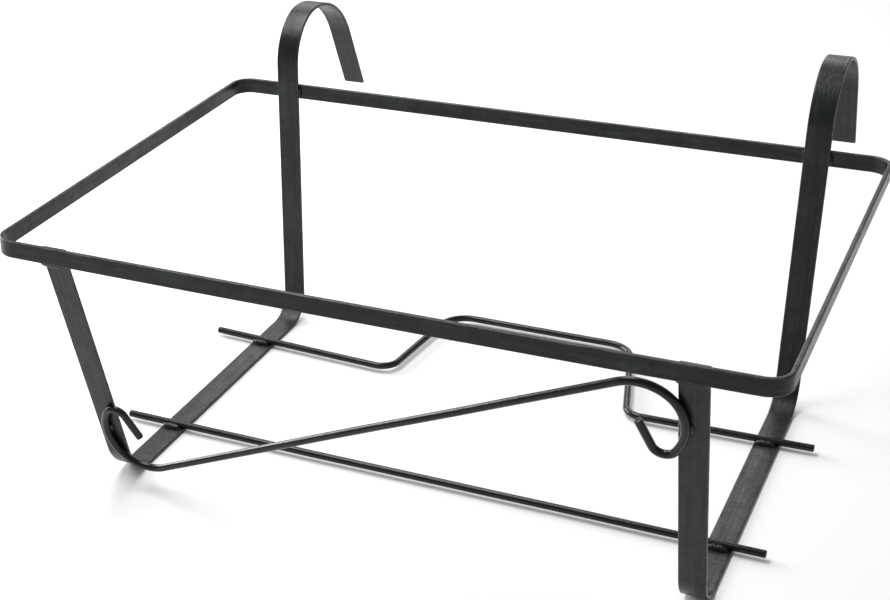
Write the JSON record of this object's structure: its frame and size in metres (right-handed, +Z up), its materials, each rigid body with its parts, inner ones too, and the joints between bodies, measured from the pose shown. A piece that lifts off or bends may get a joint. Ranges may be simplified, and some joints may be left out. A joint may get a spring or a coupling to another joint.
{
  "type": "window box holder",
  "caption": "Hanging steel holder for a window box: strip hoop, two hooked brackets, cross rods with a rear bumper and a front scroll.",
  "frame": {"origin": "centre of the footprint, at the underside of the two floor bars", "axes": "+X to the right along the hoop, +Y back towards the rail, +Z up"},
  "size_m": [0.4, 0.3758, 0.2035],
  "materials": {
    "strip_coating": "satin charcoal powder coat on flat steel strip",
    "wire_coating": "satin charcoal powder coat on round steel wire",
    "weld_coating": "satin charcoal powder coat over rough weld beads"
  },
  "bodies": {
    "root": {"hoop": "strip_coating", "left_bracket": "strip_coating", "right_bracket": "strip_coating", "front_cross_rod": "wire_coating", "rear_cross_rod": "wire_coating", "front_scroll": "wire_coating", "leg_welds": "weld_coating", "back_welds": "weld_coating", "rod_welds": "weld_coating", "scroll_welds": "weld_coating"}
  },
  "joints": []
}
